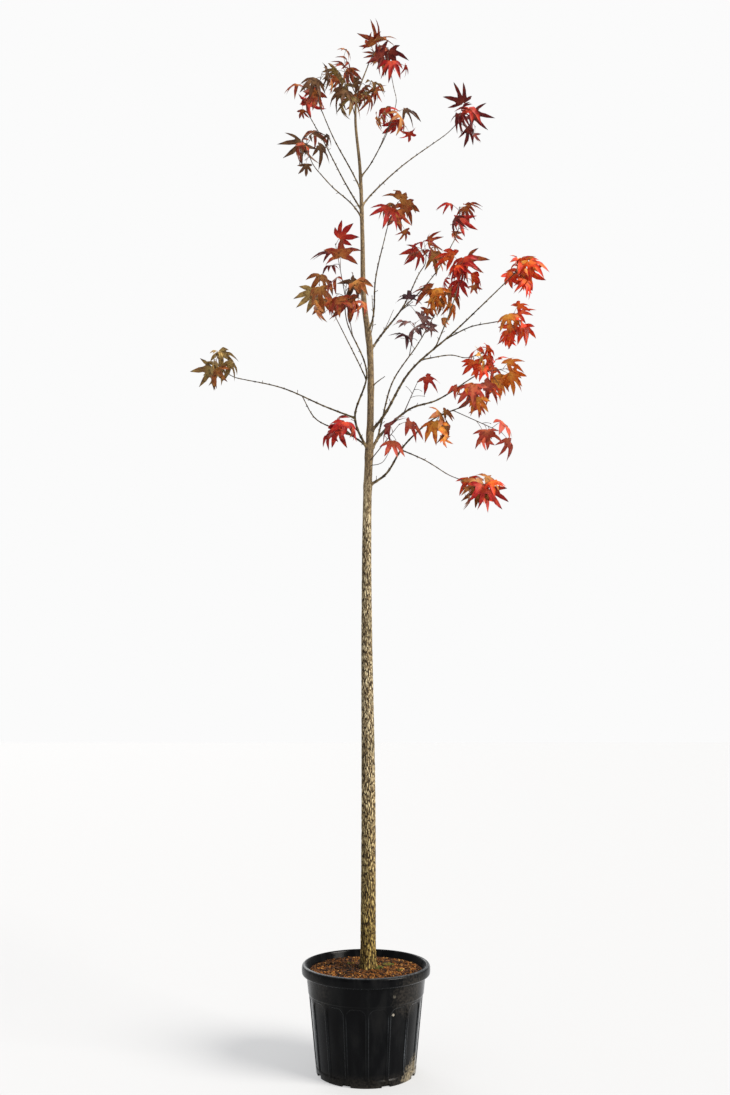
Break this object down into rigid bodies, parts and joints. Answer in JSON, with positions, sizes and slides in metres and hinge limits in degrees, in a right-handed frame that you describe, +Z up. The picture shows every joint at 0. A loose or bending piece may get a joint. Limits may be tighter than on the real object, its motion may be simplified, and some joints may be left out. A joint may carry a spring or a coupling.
{
  "type": "potted sweetgum tree",
  "caption": "Young sweetgum in a round nursery pot: one tall slender trunk, thin rising boughs and loose tufts of star-shaped autumn leaves in red, orange and olive.",
  "frame": {"origin": "middle of the pot's flat underside, on the floor", "axes": "+Z up along the trunk, +X to the side on which most boughs reach out, -Y to the front"},
  "size_m": [1.6242, 0.994, 4.609],
  "materials": {
    "pot_plastic": "semi-gloss black",
    "compost": "loose and crumbly",
    "trunk_bark": "rough, tan and olive",
    "bough_bark": "rough grey-brown",
    "leaves": "matt, autumn red, orange and olive"
  },
  "bodies": {
    "root": {"pot": "pot_plastic", "soil": "compost", "trunk": "trunk_bark", "bough_low_right": "bough_bark", "bough_low_right_fork": "bough_bark", "bough_middle_right": "bough_bark", "bough_inner_right": "bough_bark", "bough_wide_right": "bough_bark", "bough_wide_right_back": "bough_bark", "bough_wide_right_upper": "bough_bark", "bough_wide_right_front": "bough_bark", "bough_tall_right": "bough_bark", "bough_tall_right_fork": "bough_bark", "bough_front": "bough_bark", "bough_high_right": "bough_bark", "bough_high_front": "bough_bark", "bough_high_front_shoot": "bough_bark", "bough_arched_left": "bough_bark", "bough_arched_left_fork": "bough_bark", "bough_long_left": "bough_bark", "bough_back_left": "bough_bark", "bough_upper_left": "bough_bark", "bough_tall_left": "bough_bark", "bough_steep_left": "bough_bark", "bare_spur_low": "bough_bark", "bare_spur_upper": "bough_bark", "leaves_top": "leaves", "leaves_leader_left": "leaves", "leaves_leader_front": "leaves", "leaves_leader_right": "leaves", "leaves_high_shoot": "leaves", "leaves_high_front": "leaves", "leaves_high_right": "leaves", "leaves_steep_left": "leaves", "leaves_tall_left": "leaves", "leaves_upper_left": "leaves", "leaves_front": "leaves", "leaves_tall_right": "leaves", "leaves_tall_right_fork": "leaves", "leaves_tall_right_low": "leaves", "leaves_inner_right": "leaves", "leaves_inner_shade": "leaves", "leaves_wide_right": "leaves", "leaves_wide_right_upper": "leaves", "leaves_wide_right_front": "leaves", "leaves_wide_right_back": "leaves", "leaves_middle_right": "leaves", "leaves_middle_spur": "leaves", "leaves_low_right": "leaves", "leaves_low_right_end": "leaves", "leaves_low_right_inner": "leaves", "leaves_low_right_fork": "leaves", "leaves_trunk_front": "leaves", "leaves_arched_left": "leaves", "leaves_arched_left_top": "leaves", "leaves_arched_left_fork": "leaves", "leaves_long_left": "leaves", "leaves_back_left": "leaves"}
  },
  "joints": []
}
